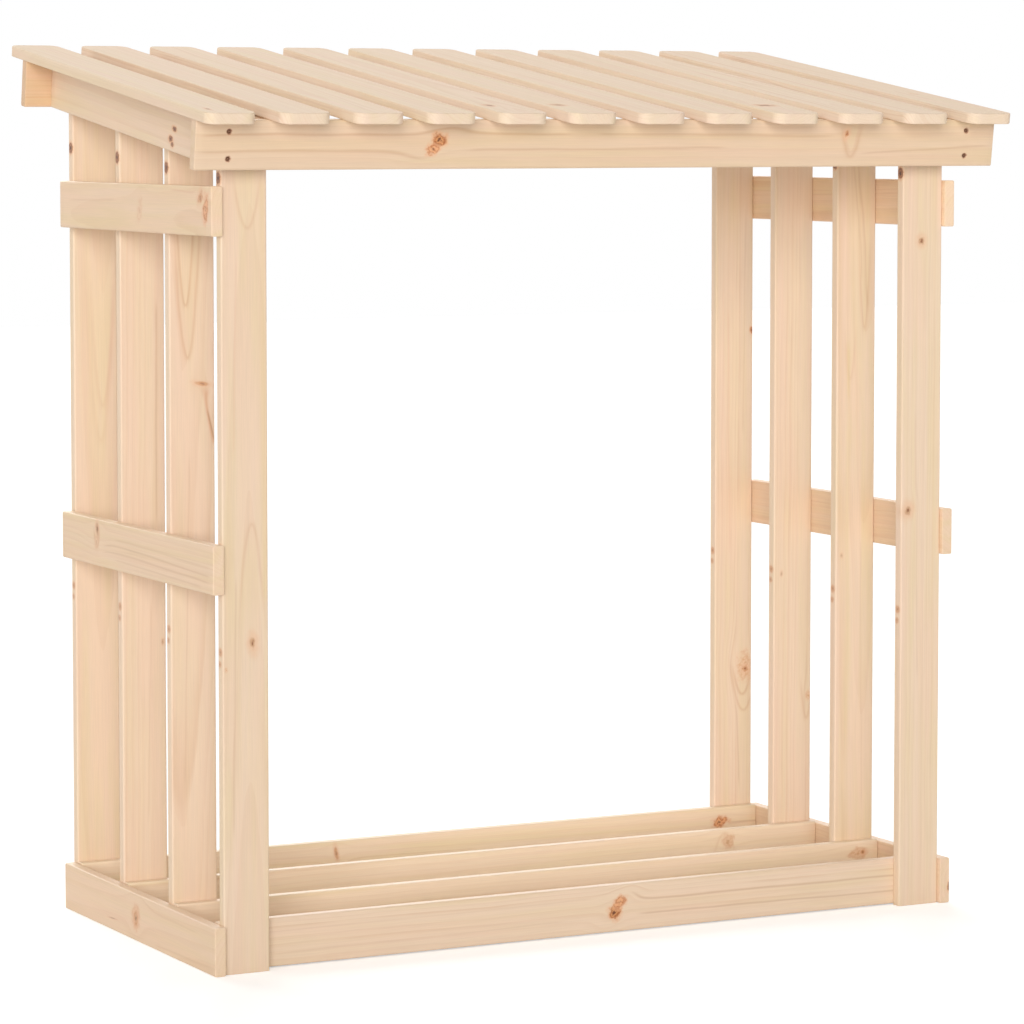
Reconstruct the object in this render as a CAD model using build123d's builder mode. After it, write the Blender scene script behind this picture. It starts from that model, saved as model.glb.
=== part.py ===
from build123d import *
import os
from math import cos, radians, sin

# Log store: an open frame of planed softwood boards under a slatted lean-to roof.
# X runs to the right, Y to the back and Z up, all in millimetres. The origin is on the
# ground, under the middle of the whole outline. The roof falls towards the front.

# Planed boards of the frame
board_width = 57.5
board_thickness = 14.0
board_edge_radius = 2.0

# Side frames: uprights stand with their wide face to the front, rails cross outside them
frame_width = 1006.0  # over the outer faces of the rails
upright_count = 4
upright_pitch = 154.0  # from the front face of one upright to that of the next
upright_top_gap = 2.0  # between the top of an upright and the slats
rail_step = 6.0  # rails reach this far in front of the uprights
middle_rail_top = 500.0
top_rail_gap = 23.0  # under the rafters, above the front face of the front uprights

# Base boards lie on edge between the bottom rails
base_board_lift = 1.5
base_board_end_gap = 0.3

# Rafters and purlins
roof_pitch = 7.75  # degrees
roof_height = 992.0  # underside of the slats above the front face of the uprights
rafter_nose = 30.5  # in front of the front uprights, along the slope
rafter_tail = 16.6  # behind the rear uprights, along the slope
purlin_overhang = 34.0  # past the outer face of each rafter

# Roof slats
slat_count = 12
slat_width = 62.5
slat_thickness = 13.0
slat_corner_radius = 14.0
slat_edge_chamfer = 1.2
slat_side_overhang = 3.0  # past the ends of the purlins
slat_front_overhang = 38.0  # past the front purlin
slat_rear_overhang = 42.5  # past the rear purlin

# Directions of the pitched roof
slope_cos = cos(radians(roof_pitch))
slope_sin = sin(radians(roof_pitch))
across = (1, 0, 0)
up_slope = (0, slope_cos, slope_sin)
off_slope = (0, -slope_sin, slope_cos)

# Side frames and base
frame_depth = (upright_count - 1) * upright_pitch + board_thickness
top_rail_top = roof_height - board_width / slope_cos - top_rail_gap
upright_outer_x = frame_width / 2 - board_thickness
upright_x = upright_outer_x - board_width / 2
rail_x = upright_outer_x + board_thickness / 2
base_board_length = 2 * (upright_outer_x - base_board_end_gap)

# Places along the slope, measured from above the front face of the front uprights
front_purlin_back = -rafter_nose
front_purlin_front = front_purlin_back - board_thickness
rear_purlin_front = frame_depth / slope_cos + rafter_tail
rear_purlin_back = rear_purlin_front + board_thickness
rafter_length = rear_purlin_front - front_purlin_back
slat_front = front_purlin_front - slat_front_overhang
slat_back = rear_purlin_back + slat_rear_overhang
slat_length = slat_back - slat_front

# Places across the roof
purlin_length = frame_width + 2 * purlin_overhang
roof_width = purlin_length + 2 * slat_side_overhang
slat_pitch = (roof_width - slat_width) / (slat_count - 1)

# The slats reach furthest to the front and the back, so they centre the part
front_reach = slat_front * slope_cos - slat_thickness * slope_sin
back_reach = slat_back * slope_cos
front_y = -(front_reach + back_reach) / 2


def roof_point(x, along, off):
    """A point given by its distance along the slope and off the underside of the slats."""
    y = front_y + along * slope_cos - off * slope_sin
    z = roof_height + along * slope_sin + off * slope_cos
    return (x, y, z)


def upright_front_y(row):
    """The front face of an upright, counted from the front."""
    return front_y + (row - 1) * upright_pitch


def write_piece(piece, label):
    piece.part.label = label
    export_step(piece.part, f"parts/{label}.step")


def make_upright(side, label, row):
    """A board on end, cut at the top to the pitch of the roof."""
    foot = (side * upright_x, upright_front_y(row) + board_thickness / 2, 0)
    roof_top_z = roof_point(0, slat_back, slat_thickness)[2]
    top_cut = Plane(roof_point(0, 0, -upright_top_gap), x_dir=across, z_dir=off_slope)
    with BuildPart() as upright:
        with BuildSketch(Plane(foot)):
            RectangleRounded(board_width, board_thickness, board_edge_radius)
        extrude(amount=roof_top_z)
        split(bisect_by=top_cut, keep=Keep.BOTTOM)
    write_piece(upright, label)


def make_rail(side, label, top_z):
    """A board on edge, from front to back along the outside of the uprights."""
    start = (side * rail_x, front_y - rail_step, top_z - board_width / 2)
    with BuildPart() as rail:
        with BuildSketch(Plane(start, x_dir=across, z_dir=(0, 1, 0))):
            RectangleRounded(board_thickness, board_width, board_edge_radius)
        extrude(amount=frame_depth)
    write_piece(rail, label)


def make_base_board(label, row):
    """A board on edge across the store. The front one lies behind the uprights, the others before."""
    if row == 1:
        front_face_y = upright_front_y(row) + board_thickness
    else:
        front_face_y = upright_front_y(row) - board_thickness
    middle_y = front_face_y + board_thickness / 2
    start = (-base_board_length / 2, middle_y, base_board_lift + board_width / 2)
    with BuildPart() as base_board:
        with BuildSketch(Plane(start, x_dir=(0, 1, 0), z_dir=across)):
            RectangleRounded(board_thickness, board_width, board_edge_radius)
        extrude(amount=base_board_length)
    write_piece(base_board, label)


def make_rafter(side, label):
    """A sloping board on edge, outside the uprights, that butts against both purlins."""
    start = roof_point(side * rail_x, front_purlin_back, -board_width / 2)
    with BuildPart() as rafter:
        with BuildSketch(Plane(start, x_dir=across, z_dir=up_slope)):
            RectangleRounded(board_thickness, board_width, board_edge_radius)
        extrude(amount=rafter_length)
    write_piece(rafter, label)


def make_purlin(label, front_face):
    """A board across the store, set square to the pitch, that carries the ends of the slats."""
    start = roof_point(-purlin_length / 2, front_face + board_thickness / 2, -board_width / 2)
    with BuildPart() as purlin:
        with BuildSketch(Plane(start, x_dir=up_slope, z_dir=across)):
            RectangleRounded(board_thickness, board_width, board_edge_radius)
        extrude(amount=purlin_length)
    write_piece(purlin, label)


def make_slat(label, number):
    """A roof slat with rounded corners and eased edges, laid down the slope."""
    middle_x = (slat_width - roof_width) / 2 + (number - 1) * slat_pitch
    middle = roof_point(middle_x, slat_front + slat_length / 2, 0)
    with BuildPart() as slat:
        with BuildSketch(Plane(middle, x_dir=across, z_dir=off_slope)):
            RectangleRounded(slat_width, slat_length, slat_corner_radius)
        extrude(amount=slat_thickness)
        faces_by_height = slat.faces().sort_by(Axis(middle, off_slope))
        rims = faces_by_height[0].edges() + faces_by_height[-1].edges()
        chamfer(rims, length=slat_edge_chamfer)
    write_piece(slat, label)


os.makedirs("parts", exist_ok=True)

for side, side_name in ((-1, "left"), (1, "right")):
    for row in range(1, upright_count + 1):
        make_upright(side, f"{side_name}_upright_{row}", row)
    make_rail(side, f"{side_name}_bottom_rail", board_width)
    make_rail(side, f"{side_name}_middle_rail", middle_rail_top)
    make_rail(side, f"{side_name}_top_rail", top_rail_top)
    make_rafter(side, f"{side_name}_rafter")

for row in range(1, upright_count + 1):
    make_base_board(f"base_board_{row}", row)

make_purlin("front_purlin", front_purlin_front)
make_purlin("rear_purlin", rear_purlin_front)

for number in range(1, slat_count + 1):
    make_slat(f"roof_slat_{number:02d}", number)
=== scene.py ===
import math
from types import SimpleNamespace
import bpy
import numpy as np
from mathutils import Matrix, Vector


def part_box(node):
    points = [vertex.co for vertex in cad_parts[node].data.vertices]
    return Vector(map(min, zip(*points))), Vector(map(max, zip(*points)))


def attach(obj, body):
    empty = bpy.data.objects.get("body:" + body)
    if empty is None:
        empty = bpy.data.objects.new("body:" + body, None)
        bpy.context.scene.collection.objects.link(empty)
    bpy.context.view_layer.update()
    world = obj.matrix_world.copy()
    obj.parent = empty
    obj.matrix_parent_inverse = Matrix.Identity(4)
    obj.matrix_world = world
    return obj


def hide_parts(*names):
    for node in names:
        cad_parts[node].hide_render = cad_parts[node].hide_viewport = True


# Log store in planed, bare softwood. Every board of the frame is carved anew from its own piece of wood,
# with growth rings, knots and eased edges, and the purlins get their screws.
# Metres, X to the right, Y to the back, Z up. Grain and knots are given in millimetres on the board.

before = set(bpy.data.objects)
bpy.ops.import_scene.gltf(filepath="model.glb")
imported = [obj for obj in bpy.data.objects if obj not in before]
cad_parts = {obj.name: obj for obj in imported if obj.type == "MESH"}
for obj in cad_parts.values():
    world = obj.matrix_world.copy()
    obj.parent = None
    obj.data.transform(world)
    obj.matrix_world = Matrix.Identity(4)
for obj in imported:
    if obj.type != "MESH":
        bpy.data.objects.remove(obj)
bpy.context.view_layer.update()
millimetre = 0.001

scene = bpy.context.scene
scene.view_settings.view_transform = "Standard"
white = (1, 1, 1, 1)


# Short names for the shader nodes used here. Every call adds one node and returns its output. The mix node's
# colour sockets come after its number and vector ones.
def nodeSheet(owner):
    nodes, links = owner.node_tree.nodes, owner.node_tree.links

    def feed(socket, value):
        if isinstance(value, bpy.types.NodeSocket):
            links.new(value, socket)
        else:
            socket.default_value = value

    def mathNode(operation, *values, clamp=False):
        node = nodes.new("ShaderNodeMath")
        node.operation = operation
        node.use_clamp = clamp
        for socket, value in zip(node.inputs, values):
            feed(socket, value)
        return node.outputs[0]

    def combine(x, y, z):
        node = nodes.new("ShaderNodeCombineXYZ")
        for socket, value in zip(node.inputs, (x, y, z)):
            feed(socket, value)
        return node.outputs[0]

    def noise(place, scale, detail=2.0, roughness=0.5, dimensions="3D"):
        node = nodes.new("ShaderNodeTexNoise")
        node.noise_dimensions = dimensions
        feed(node.inputs["W" if dimensions == "1D" else "Vector"], place)
        node.inputs["Scale"].default_value = scale
        node.inputs["Detail"].default_value = detail
        node.inputs["Roughness"].default_value = roughness
        return node.outputs["Fac"]

    def whiteNoise(place):
        node = nodes.new("ShaderNodeTexWhiteNoise")
        node.noise_dimensions = "1D"
        feed(node.inputs["W"], place)
        return node.outputs["Value"]

    def spread(value, fromLow, fromHigh, toLow=0.0, toHigh=1.0, smooth=True):
        node = nodes.new("ShaderNodeMapRange")
        node.interpolation_type = "SMOOTHSTEP" if smooth else "LINEAR"
        feed(node.inputs["Value"], value)
        feed(node.inputs["From Min"], fromLow)
        feed(node.inputs["From Max"], fromHigh)
        feed(node.inputs["To Min"], toLow)
        feed(node.inputs["To Max"], toHigh)
        return node.outputs["Result"]

    def mix(amount, first, second, blend="MIX"):
        node = nodes.new("ShaderNodeMix")
        node.data_type = "RGBA"
        node.blend_type = blend
        feed(node.inputs[0], amount)
        feed(node.inputs[6], first)
        feed(node.inputs[7], second)
        return node.outputs[2]

    return SimpleNamespace(nodes=nodes, links=links, feed=feed, math=mathNode, combine=combine, noise=noise,
                           whiteNoise=whiteNoise, spread=spread, mix=mix)


# Camera, floor and light

cameraLook = dict(
    place=(-2.3559, -4.5785, 0.9855),
    azimuth=27.275,  # degrees to the right of straight ahead
    pitch=4.0,  # degrees downwards
    lens=145.35,  # millimetres on a sensor 36 mm wide
    shiftY=-0.10,
)


# A rotation of zero would look straight down, with the top of the picture to the back.
def addCamera(look):
    data = bpy.data.cameras.new("storeCamera")
    data.sensor_width = 36.0
    data.lens = look["lens"]
    data.shift_y = look["shiftY"]
    data.clip_end = 60.0
    camera = bpy.data.objects.new("storeCamera", data)
    camera.location = look["place"]
    camera.rotation_euler = (math.radians(90 - look["pitch"]), 0, -math.radians(look["azimuth"]))
    scene.collection.objects.link(camera)
    scene.camera = camera


# Each lamp shines from an azimuth and an elevation, in degrees, through a wide disc, for soft shadows.
lightLook = dict(
    worldStrength=0.31,
    worldTint=(1.0, 0.93, 0.84, 1),
    lamps=(
        dict(name="keyLight", azimuth=-30.0, elevation=7.5, strength=2.28, spread=34.0),
        dict(name="sideLight", azimuth=-85.0, elevation=24.0, strength=0.40, spread=50.0),
        dict(name="backLight", azimuth=172.0, elevation=31.0, strength=1.88, spread=50.0),
        dict(name="fillLight", azimuth=102.0, elevation=16.0, strength=0.55, spread=60.0),
    ),
)


# White seen directly, in gloss or through glass, and as light a gentler, warmer level.
def addWorld(look):
    world = bpy.data.worlds.new("studioWorld")
    scene.world = world
    world.use_nodes = True
    sheet = nodeSheet(world)
    background = sheet.nodes["Background"]
    path = sheet.nodes.new("ShaderNodeLightPath").outputs
    seen = sheet.math("ADD", path["Is Camera Ray"], path["Is Glossy Ray"])
    seen = sheet.math("ADD", seen, path["Is Transmission Ray"], clamp=True)
    level = sheet.spread(seen, 0.0, 1.0, look["worldStrength"], 1.0, smooth=False)
    sheet.feed(background.inputs["Strength"], level)
    sheet.feed(background.inputs["Color"], sheet.mix(seen, look["worldTint"], white))


# Azimuth 0 shines from the front and 90 from the right.
def addSoftSun(look):
    data = bpy.data.lights.new(look["name"], "SUN")
    data.energy = look["strength"]
    data.angle = math.radians(look["spread"])
    lamp = bpy.data.objects.new(look["name"], data)
    lamp.rotation_euler = (math.radians(90 - look["elevation"]), 0, math.radians(look["azimuth"]))
    scene.collection.objects.link(lamp)


floorLook = dict(
    halfSize=14.0,
    colour=(0.88, 0.88, 0.88, 1),
    lift=0.44,  # added where the camera sees the floor, so that only its shadow stays under white
)


# A large, matt square. Only the camera sees the glow that lifts it.
def addFloor(look):
    half = look["halfSize"]
    mesh = bpy.data.meshes.new("studioFloor")
    corners = [(-half, -half, 0), (half, -half, 0), (half, half, 0), (-half, half, 0)]
    mesh.from_pydata(corners, [], [(0, 1, 2, 3)])
    floor = bpy.data.objects.new("studioFloor", mesh)
    scene.collection.objects.link(floor)
    material = bpy.data.materials.new("paleFloor")
    material.use_nodes = True
    material.cycles.emission_sampling = "NONE"
    sheet = nodeSheet(material)
    sheet.nodes.clear()
    diffuse = sheet.nodes.new("ShaderNodeBsdfDiffuse")
    diffuse.inputs["Color"].default_value = look["colour"]
    glow = sheet.nodes.new("ShaderNodeEmission")
    path = sheet.nodes.new("ShaderNodeLightPath").outputs
    sheet.feed(glow.inputs["Strength"], sheet.math("MULTIPLY", path["Is Camera Ray"], look["lift"]))
    both = sheet.nodes.new("ShaderNodeAddShader")
    sheet.feed(both.inputs[0], diffuse.outputs[0])
    sheet.feed(both.inputs[1], glow.outputs[0])
    output = sheet.nodes.new("ShaderNodeOutputMaterial")
    sheet.feed(output.inputs["Surface"], both.outputs[0])
    mesh.materials.append(material)


addCamera(cameraLook)
addWorld(lightLook)
for lampLook in lightLook["lamps"]:
    addSoftSun(lampLook)
addFloor(floorLook)
print("studio ready")


# Where each board lies, read from the frame

# All points of a node's mesh, in metres.
def nodePoints(node):
    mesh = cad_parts[node].data
    points = np.empty(len(mesh.vertices) * 3, np.float32)
    mesh.vertices.foreach_get("co", points)
    return points.reshape(-1, 3).astype(float)


# The slope is the long direction of a rafter: the first singular vector of its points about their middle.
rafterPoints = nodePoints("left_rafter")
upSlope = np.linalg.svd(rafterPoints - rafterPoints.mean(0))[2][0]
upSlope = upSlope * np.sign(upSlope[1])
slopeTangent = upSlope[2] / upSlope[1]
offSlope = np.array([0, -upSlope[2], upSlope[1]])
toRight, toBack, upwards = np.eye(3)

# For each family of boards: the direction of the grain, across the wide face, and through the thickness.
boardAxes = dict(
    upright=(upwards, toRight, toBack),
    rail=(toBack, upwards, toRight),
    rafter=(upSlope, offSlope, toRight),
    baseBoard=(toRight, upwards, toBack),
    purlin=(toRight, offSlope, upSlope),
    slat=(upSlope, toRight, offSlope),
)


# A board's middle and half sizes, from the lowest and highest of its points along its three axes.
def boardPlace(node, family):
    axes = np.array(boardAxes[family], float)
    local = nodePoints(node) @ axes.T
    low, high = local.min(0), local.max(0)
    return SimpleNamespace(axes=axes, middle=(low + high) / 2 @ axes, half=(high - low) / 2)


# Board shapes

boardShape = dict(
    edgeRadius=2.0,  # millimetres, eased long edges
    edgeSway=0.25,  # how far that radius comes and goes along the board
    endEase=0.9,  # sawn ends, sanded round
    relief=0.10,  # deepest dip left by the planer
    planerWaves=(90, 38, 21),  # lengths of its waves on a wide face
    sideWaves=(120, 40),  # on a narrow face
    sideFineness=3,  # how much finer these run across the face
    swayWaves=(140, 60),  # and of the radius
    swayShift=(9, 5),  # so that each edge sways by itself
    leastRadius=0.3,
    stillEnd=6.0,  # the dips fade out over this last stretch
    knotRing=0.22,  # width of the dip round a knot, as a share of the knot
    knotBowl=0.35,  # the knot's own dip, as a share of that ring's
    bowlSlope=1.2,
    sinkSlope=1.9,  # past 1, a screw hole has a flat bottom
    stationStep=12.0,  # between sections along the grain
    columnStep=5.0,  # between points across a wide face
    knotStep=1.8,  # the finer step at knots
    sinkStep=0.8,  # and in boards with screw holes
    fineReach=1.5,  # how far those steps reach, counted in the knot's size
    fineMargin=1,
    edgeBand=0.03,  # share of a wide face, beside each edge, that stays a narrow band of its own
    bandClearance=1.3,  # bands from the edge within which no other column stands
    sideBand=0.12,  # the same band on a narrow face
    stationClearance=0.5,  # between the stations of the ends and the next one
    cornerSteps=4,
    easeSteps=3,
    capRings=(0.8, 0.45),
)
slatShape = dict(boardShape, edgeRadius=1.3, edgeSway=0.15, endEase=1.3, cornerRadius=14.0, cornerStations=9,
                 cornerStart=0.35)  # radians on the corner's quarter circle, clear of the end's own rounding
closest = 0.35  # of a fine step, within which the second of two places is left out


# Evenly spaced places from low to high with more of them around each centre.
def gradedLine(low, high, step, centres, reach, fineStep):
    places = [np.linspace(low, high, max(2, int(round((high - low) / step)) + 1))]
    for centre, width in zip(centres, reach):
        near = np.arange(centre - width, centre + width + fineStep / 2, fineStep)
        places.append(near[(near > low) & (near < high)])
    line = np.unique(np.round(np.concatenate(places), 3))
    keep = np.concatenate([[True], np.diff(line) > fineStep * closest])
    keep[-1] = True
    return line[keep]


fieldLook = dict(
    wavesEach=3,  # of every length
    widestTurn=0.35,  # radians from the grain
    stretch=2.2,  # how much longer the waves are along the grain
    leastAcross=0.8,
)


# A smooth field between 0 and 1: the mean of sine waves in the plane, with seeded directions and phases.
def softField(g, w, waveLengths, seed):
    widest = fieldLook["widestTurn"]
    rng = np.random.default_rng(seed)
    total = np.zeros(np.broadcast(g, w).shape)
    for waveLength in waveLengths:
        for _ in range(fieldLook["wavesEach"]):
            turn = rng.uniform(-widest, widest)
            phase = rng.uniform(0, 2 * np.pi)
            along = g * np.cos(turn) / (waveLength * fieldLook["stretch"])
            across = w * (fieldLook["leastAcross"] + np.abs(np.sin(turn))) / waveLength
            total += np.sin(2 * np.pi * (along + across) + phase)
    return 0.5 + 0.5 * total / (fieldLook["wavesEach"] * len(waveLengths))


# The section of a board, once around: the two wide faces, the two narrow ones and a quarter round at each
# corner. Returned as places on the core rectangle and the outward direction in which the radius is added.
def sectionOutline(columns, rows, cornerSteps):
    quarter = np.linspace(0, np.pi / 2, cornerSteps + 1)
    coreW, coreT, outW, outT = [], [], [], []

    def run(w, t, directionW, directionT):
        count = np.broadcast(w, t, directionW, directionT).size
        coreW.append(np.broadcast_to(w, count))
        coreT.append(np.broadcast_to(t, count))
        outW.append(np.broadcast_to(directionW, count))
        outT.append(np.broadcast_to(directionT, count))

    run(columns[1:-1], -1, 0, -1)
    run(1, -1, np.sin(quarter), -np.cos(quarter))
    run(1, rows[1:-1], 1, 0)
    run(1, 1, np.cos(quarter), np.sin(quarter))
    run(columns[-2:0:-1], 1, 0, 1)
    run(-1, 1, -np.sin(quarter), np.cos(quarter))
    run(-1, rows[-2:0:-1], -1, 0)
    run(-1, -1, -np.cos(quarter), -np.sin(quarter))
    return [np.concatenate(part).astype(float) for part in (coreW, coreT, outW, outT)]


# A closed skin over rings of points, one ring after another, with a fan to a middle point at each end.
def ringMesh(name, rings, firstPole, lastPole):
    ringCount, around = rings.shape[:2]
    points = np.concatenate([rings.reshape(-1, 3), [firstPole, lastPole]])
    ring, step = np.meshgrid(np.arange(ringCount - 1), np.arange(around), indexing="ij")
    nextStep = (step + 1) % around
    quads = np.stack([ring * around + step, ring * around + nextStep,
                      (ring + 1) * around + nextStep, (ring + 1) * around + step], -1).reshape(-1, 4)
    steps = np.arange(around)
    after = (steps + 1) % around
    firstFan = np.stack([np.full(around, ringCount * around), after, steps], -1)
    lastRing = (ringCount - 1) * around
    lastFan = np.stack([np.full(around, ringCount * around + 1), lastRing + steps, lastRing + after], -1)
    mesh = bpy.data.meshes.new(name)
    mesh.from_pydata(points.tolist(), [], quads.tolist() + firstFan.tolist() + lastFan.tolist())
    mesh.polygons.foreach_set("use_smooth", np.ones(len(mesh.polygons), bool))
    return mesh


# A vector attribute that says where in its board each point lies, in millimetres from the board's middle.
def setWoodPlace(mesh, local):
    attribute = mesh.attributes.new("woodPlace", "FLOAT_VECTOR", "POINT")
    attribute.data.foreach_set("vector", local.astype(np.float32).ravel())


# How deep the surface dips, in millimetres, at places (g, w) on one wide face: the planer's waves, a shallow
# ring around each knot, and the cone of each countersunk hole.
def faceDip(g, w, shape, seed, knots, sinks):
    dip = shape["relief"] * softField(g, w, shape["planerWaves"], seed)
    for knot in knots:
        far = np.hypot((g - knot["g"]) / knot["along"], (w - knot["w"]) / knot["across"])
        ring = np.exp(-((far - 1) / shape["knotRing"]) ** 2)
        bowl = shape["knotBowl"] * np.exp(-(far * shape["bowlSlope"]) ** 2)
        dip = dip + knot["depth"] * (ring + bowl)
    for sink in sinks:
        far = np.hypot(g - sink["g"], w - sink["w"])
        cone = np.clip((sink["radius"] - far) / sink["radius"], 0, 1)
        dip = np.maximum(dip, sink["depth"] * np.minimum(cone * shape["sinkSlope"], 1))
    return dip


# How far the finer steps reach around each knot and hole, along the grain or across it.
def fineReach(detail, side, shape):
    sizes = [item.get("radius", item.get(side, 0) * shape["fineReach"]) for item in detail]
    return [size + shape["fineMargin"] for size in sizes]


# Places across a wide face, as shares of its flat half: even steps, finer ones at knots and holes, and a
# narrow band beside each edge.
def faceColumns(halfW, shape, detail, fineStep):
    flatW = halfW - shape["edgeRadius"]
    reach = fineReach(detail, "across", shape)
    columns = gradedLine(-flatW, flatW, shape["columnStep"], [item["w"] for item in detail], reach, fineStep)
    columns = columns / flatW
    band = shape["edgeBand"]
    columns = columns[np.abs(columns) < 1 - band * shape["bandClearance"]]
    return np.concatenate([[-1, band - 1], columns, [1 - band, 1]])


# Places along the grain: even steps, finer ones at knots and holes, and those of the rounded ends and of a
# slat's rounded corners.
def boardStations(halfG, shape, detail, fineStep):
    ease = shape["endEase"]
    reach = fineReach(detail, "along", shape)
    centres = [item["g"] for item in detail]
    last = halfG - ease * 1.5
    middle = gradedLine(-last, last, shape["stationStep"], centres, reach, fineStep)
    quarter = np.linspace(0, np.pi / 2, shape["easeSteps"] + 1)
    ends = ease * (1 - np.cos(quarter))
    if "cornerRadius" in shape:
        turn = np.linspace(shape["cornerStart"], np.pi / 2, shape["cornerStations"])
        ends = np.concatenate([ends, shape["cornerRadius"] * (1 - np.cos(turn)) + ease / 2])
    ends = np.unique(np.round(ends, 3))
    inner = middle[np.abs(middle) < halfG - ends[-1] - shape["stationClearance"]]
    return np.concatenate([ends - halfG, inner, (halfG - ends)[::-1]])[:, None]


# How far a quarter circle lies inside the edge it rounds, at a depth from the end of the board.
def roundedInset(depth, radius):
    return radius - np.sqrt(np.clip(radius**2 - np.clip(radius - depth, 0, radius) ** 2, 0, None))


# The section at every station: the outline on the core rectangle, pushed out by a radius that sways a
# little. Both halves shrink along a quarter circle at the ends, and a slat's half width follows a wider one
# too, which rounds its corners in plan.
def boardSkin(along, depth, outline, half, shape, seed):
    coreW, coreT, outW, outT = outline
    shrink = roundedInset(depth, shape["endEase"])
    halfW, halfT = half[1] - shrink, half[2] - shrink
    if "cornerRadius" in shape:
        halfW = halfW - roundedInset(depth, shape["cornerRadius"])
    shiftW, shiftT = shape["swayShift"]
    sway = softField(along, outW[None] * shiftW + outT[None] * shiftT, shape["swayWaves"], seed + 7) - 0.5
    radius = np.clip(shape["edgeRadius"] + shape["edgeSway"] * 2 * sway, shape["leastRadius"], None)
    w = coreW * (halfW - radius) + outW * radius
    t = coreT * (halfT - radius) + outT * radius
    return np.broadcast_to(along, w.shape), w, t


# The faces dip inwards: the wide ones by faceDip and the narrow ones by waves alone. Both fade at the ends.
def carveFaces(g, w, t, depth, outline, shape, seed, knots, frontSinks, backSinks):
    outW, outT = outline[2:]
    still = shape["stillEnd"]
    near = np.exp(-(np.clip(still - depth, 0, None) / (still / 2)) ** 2)
    frontDip = faceDip(g, w, shape, seed, knots, frontSinks)
    backDip = faceDip(g, w, shape, seed + 3, knots, backSinks)
    sideDip = shape["relief"] * softField(g, t * shape["sideFineness"], shape["sideWaves"], seed + 5)
    inwards = frontDip * np.clip(-outT, 0, 1) - backDip * np.clip(outT, 0, 1)
    return w - near * np.sign(outW) * sideDip * np.abs(outW), t + near * inwards


# The first and the last ring again, at shrinking sizes, to close the sawn ends.
def addCaps(rings, scales):
    first = [rings[:1] * scale for scale in scales[::-1]]
    last = [rings[-1:] * scale for scale in scales]
    return np.concatenate(first + [rings] + last)


# A sawn board: the section carried along the grain, with dips in its faces and closed ends. An upright's top
# is sheared to the slope of the roof.
def boardMesh(name, place, shape, seed, knots=(), sinks=(), sinkFace=-1, slopedTop=False):
    half = place.half / millimetre
    halfG, halfW, halfT = half
    wide = [knot for knot in knots if knot["through"] is None]
    detail = wide + list(sinks)
    fineStep = shape["sinkStep"] if sinks else shape["knotStep"]
    band = shape["sideBand"]
    rows = np.array([-1, band - 1, 0, 1 - band, 1])
    outline = sectionOutline(faceColumns(halfW, shape, detail, fineStep), rows, shape["cornerSteps"])
    along = boardStations(halfG, shape, detail, fineStep)
    depth = halfG - np.abs(along)
    g, w, t = boardSkin(along, depth, outline, half, shape, seed)
    frontSinks, backSinks = (sinks, ()) if sinkFace < 0 else ((), sinks)
    w, t = carveFaces(g, w, t, depth, outline, shape, seed, wide, frontSinks, backSinks)
    scales = shape["capRings"]
    rings = np.stack([addCaps(g, (1,) * len(scales)), addCaps(w, scales), addCaps(t, scales)], -1)
    poles = np.array([[-halfG, 0, 0], [halfG, 0, 0]])
    if slopedTop:
        share = (rings[..., 0] + halfG) / (2 * halfG)
        rings[..., 0] -= share * (halfT - rings[..., 2]) * slopeTangent
        poles[1, 0] -= halfT * slopeTangent
    placed = place.middle + rings * millimetre @ place.axes
    firstPole, lastPole = place.middle + poles * millimetre @ place.axes
    mesh = ringMesh(name, placed, firstPole, lastPole)
    setWoodPlace(mesh, np.concatenate([rings.reshape(-1, 3), poles]))
    return mesh


# Softwood

woodLook = dict(
    early=(0.835, 0.652, 0.492, 1),  # pale wood between the lines
    late=(0.62, 0.36, 0.19, 1),  # dark line that ends each year
    rosy=(0.85, 0.635, 0.49, 1),
    straw=(0.80, 0.64, 0.42, 1),
    roughness=0.52,
    specular=0.42,
    paleEdge=0.18,  # painted light: how much paler the narrow faces are painted, for the brighter light on tops and sides
    edgeTone=(0.94, 0.78, 0.61, 1),
    edgeFade=(1.6, 0.5),  # millimetres from the edge between which that comes in
    fibreWidth=1.1,  # millimetres
    fibreStretch=0.02,
    fibreTone=(0.955, 1.03),  # darkest and palest fibre
    fibreGloss=0.16,  # swing in roughness from fibre to fibre
    lineGloss=0.08,  # how much smoother the lines are
    knotGloss=0.12,
    fibreHeight=0.5,
    lineHeight=0.45,
    knotHeight=0.3,
    bumpStrength=0.5,
    bumpDepth=0.00018,
)
slatLook = dict(
    woodLook,
    early=(0.85, 0.685, 0.53, 1),
    rosy=(0.86, 0.665, 0.53, 1),
    straw=(0.83, 0.68, 0.485, 1),
    roughness=0.75,
    specular=0.22,
    paleEdge=0.0,
)

# How a board was cut from its log: the pith lies at (w, t) from the board's middle and leans away from the
# grain by lean (per length). Spacing is between year rings, and line is how strongly they show. What a board
# doesn't say in boardWood comes from here, drawn between two bounds where there are two.
# Tone multiplies a board's colours; the boards that set it use it for painted light or painted shade.
cutDefaults = dict(spacing=4.6, sway=4.0, line=0.35, tone=(1.0, 1.0, 1.0))
cutBounds = dict(pithW=(-60, 60), pithT=(30, 60), leanT=(-0.02, 0.02), straw=(0.2, 0.6))

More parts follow.
